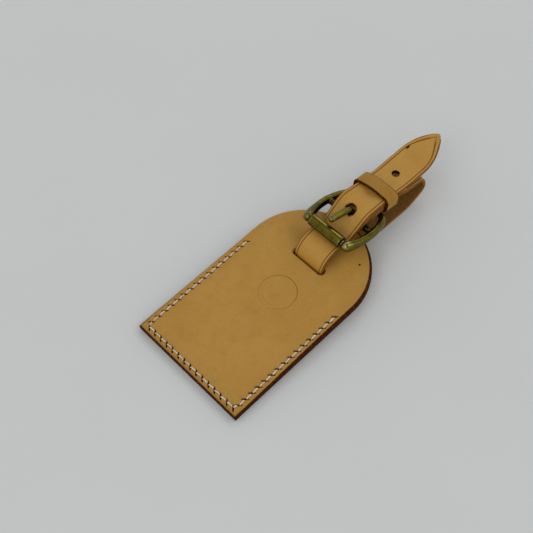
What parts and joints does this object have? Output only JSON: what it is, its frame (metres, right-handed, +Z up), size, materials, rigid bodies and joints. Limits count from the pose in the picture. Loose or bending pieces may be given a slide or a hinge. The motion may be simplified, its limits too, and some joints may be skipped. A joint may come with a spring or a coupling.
{
  "type": "luggage tag",
  "caption": "Stitched leather luggage tag with a card pocket, and a buckled strap with a keeper that loops round a bag handle.",
  "frame": {"origin": "on the resting surface, under the middle of the whole object's box", "axes": "+X along the tag from its stitched bottom edge to the strap's pointed tip, +Y across it, +Z up from the resting surface"},
  "size_m": [0.1712, 0.065, 0.0276],
  "materials": {
    "tag_leather": "waxed vegetable-tanned leather",
    "strap_leather": "waxed vegetable-tanned leather, suede on the inside",
    "keeper_leather": "waxed vegetable-tanned leather, a little darker",
    "thread": "waxed linen thread",
    "card": "stiff uncoated card",
    "antique_brass": "antiqued, worn bright on the edges"
  },
  "bodies": {
    "tag_body": {"front_panel": "tag_leather", "rear_panel": "tag_leather", "seam_thread": "thread"},
    "card": {"address_card": "card"},
    "strap": {"strap": "strap_leather", "strap_fold_thread": "thread"},
    "keeper": {"keeper_loop": "keeper_leather", "keeper_thread": "thread"},
    "buckle": {"buckle_frame": "antique_brass"},
    "roller": {"buckle_roller": "antique_brass"},
    "prong": {"buckle_prong": "antique_brass"}
  },
  "joints": [
    {"name": "tag_swing", "type": "hinge", "parent": "tag_body", "child": "strap", "pos_m": [-0.00678, 0, 0.00687], "axis": [0, 1, 0], "range_deg": [-7, 4]},
    {"name": "card_slide", "type": "slide", "parent": "tag_body", "child": "card", "axis": [0.998, 0, 0.0637], "range_m": [0, 0.005]},
    {"name": "buckle_tilt", "type": "hinge", "parent": "strap", "child": "buckle", "pos_m": [0.02132, 0, 0.0173], "axis": [0, 1, 0], "range_deg": [0, 4]},
    {"name": "roller_spin", "type": "hinge", "parent": "buckle", "child": "roller", "pos_m": [0.00556, 0, 0.02048], "axis": [0, 1, 0], "continuous": true},
    {"name": "prong_tilt", "type": "hinge", "parent": "strap", "child": "prong", "pos_m": [0.02132, 0, 0.0173], "axis": [0, 1, 0], "range_deg": [-2, 6]},
    {"name": "keeper_slide", "type": "slide", "parent": "strap", "child": "keeper", "axis": [0.9926, 0, -0.1211], "range_m": [0, 0.004]}
  ]
}
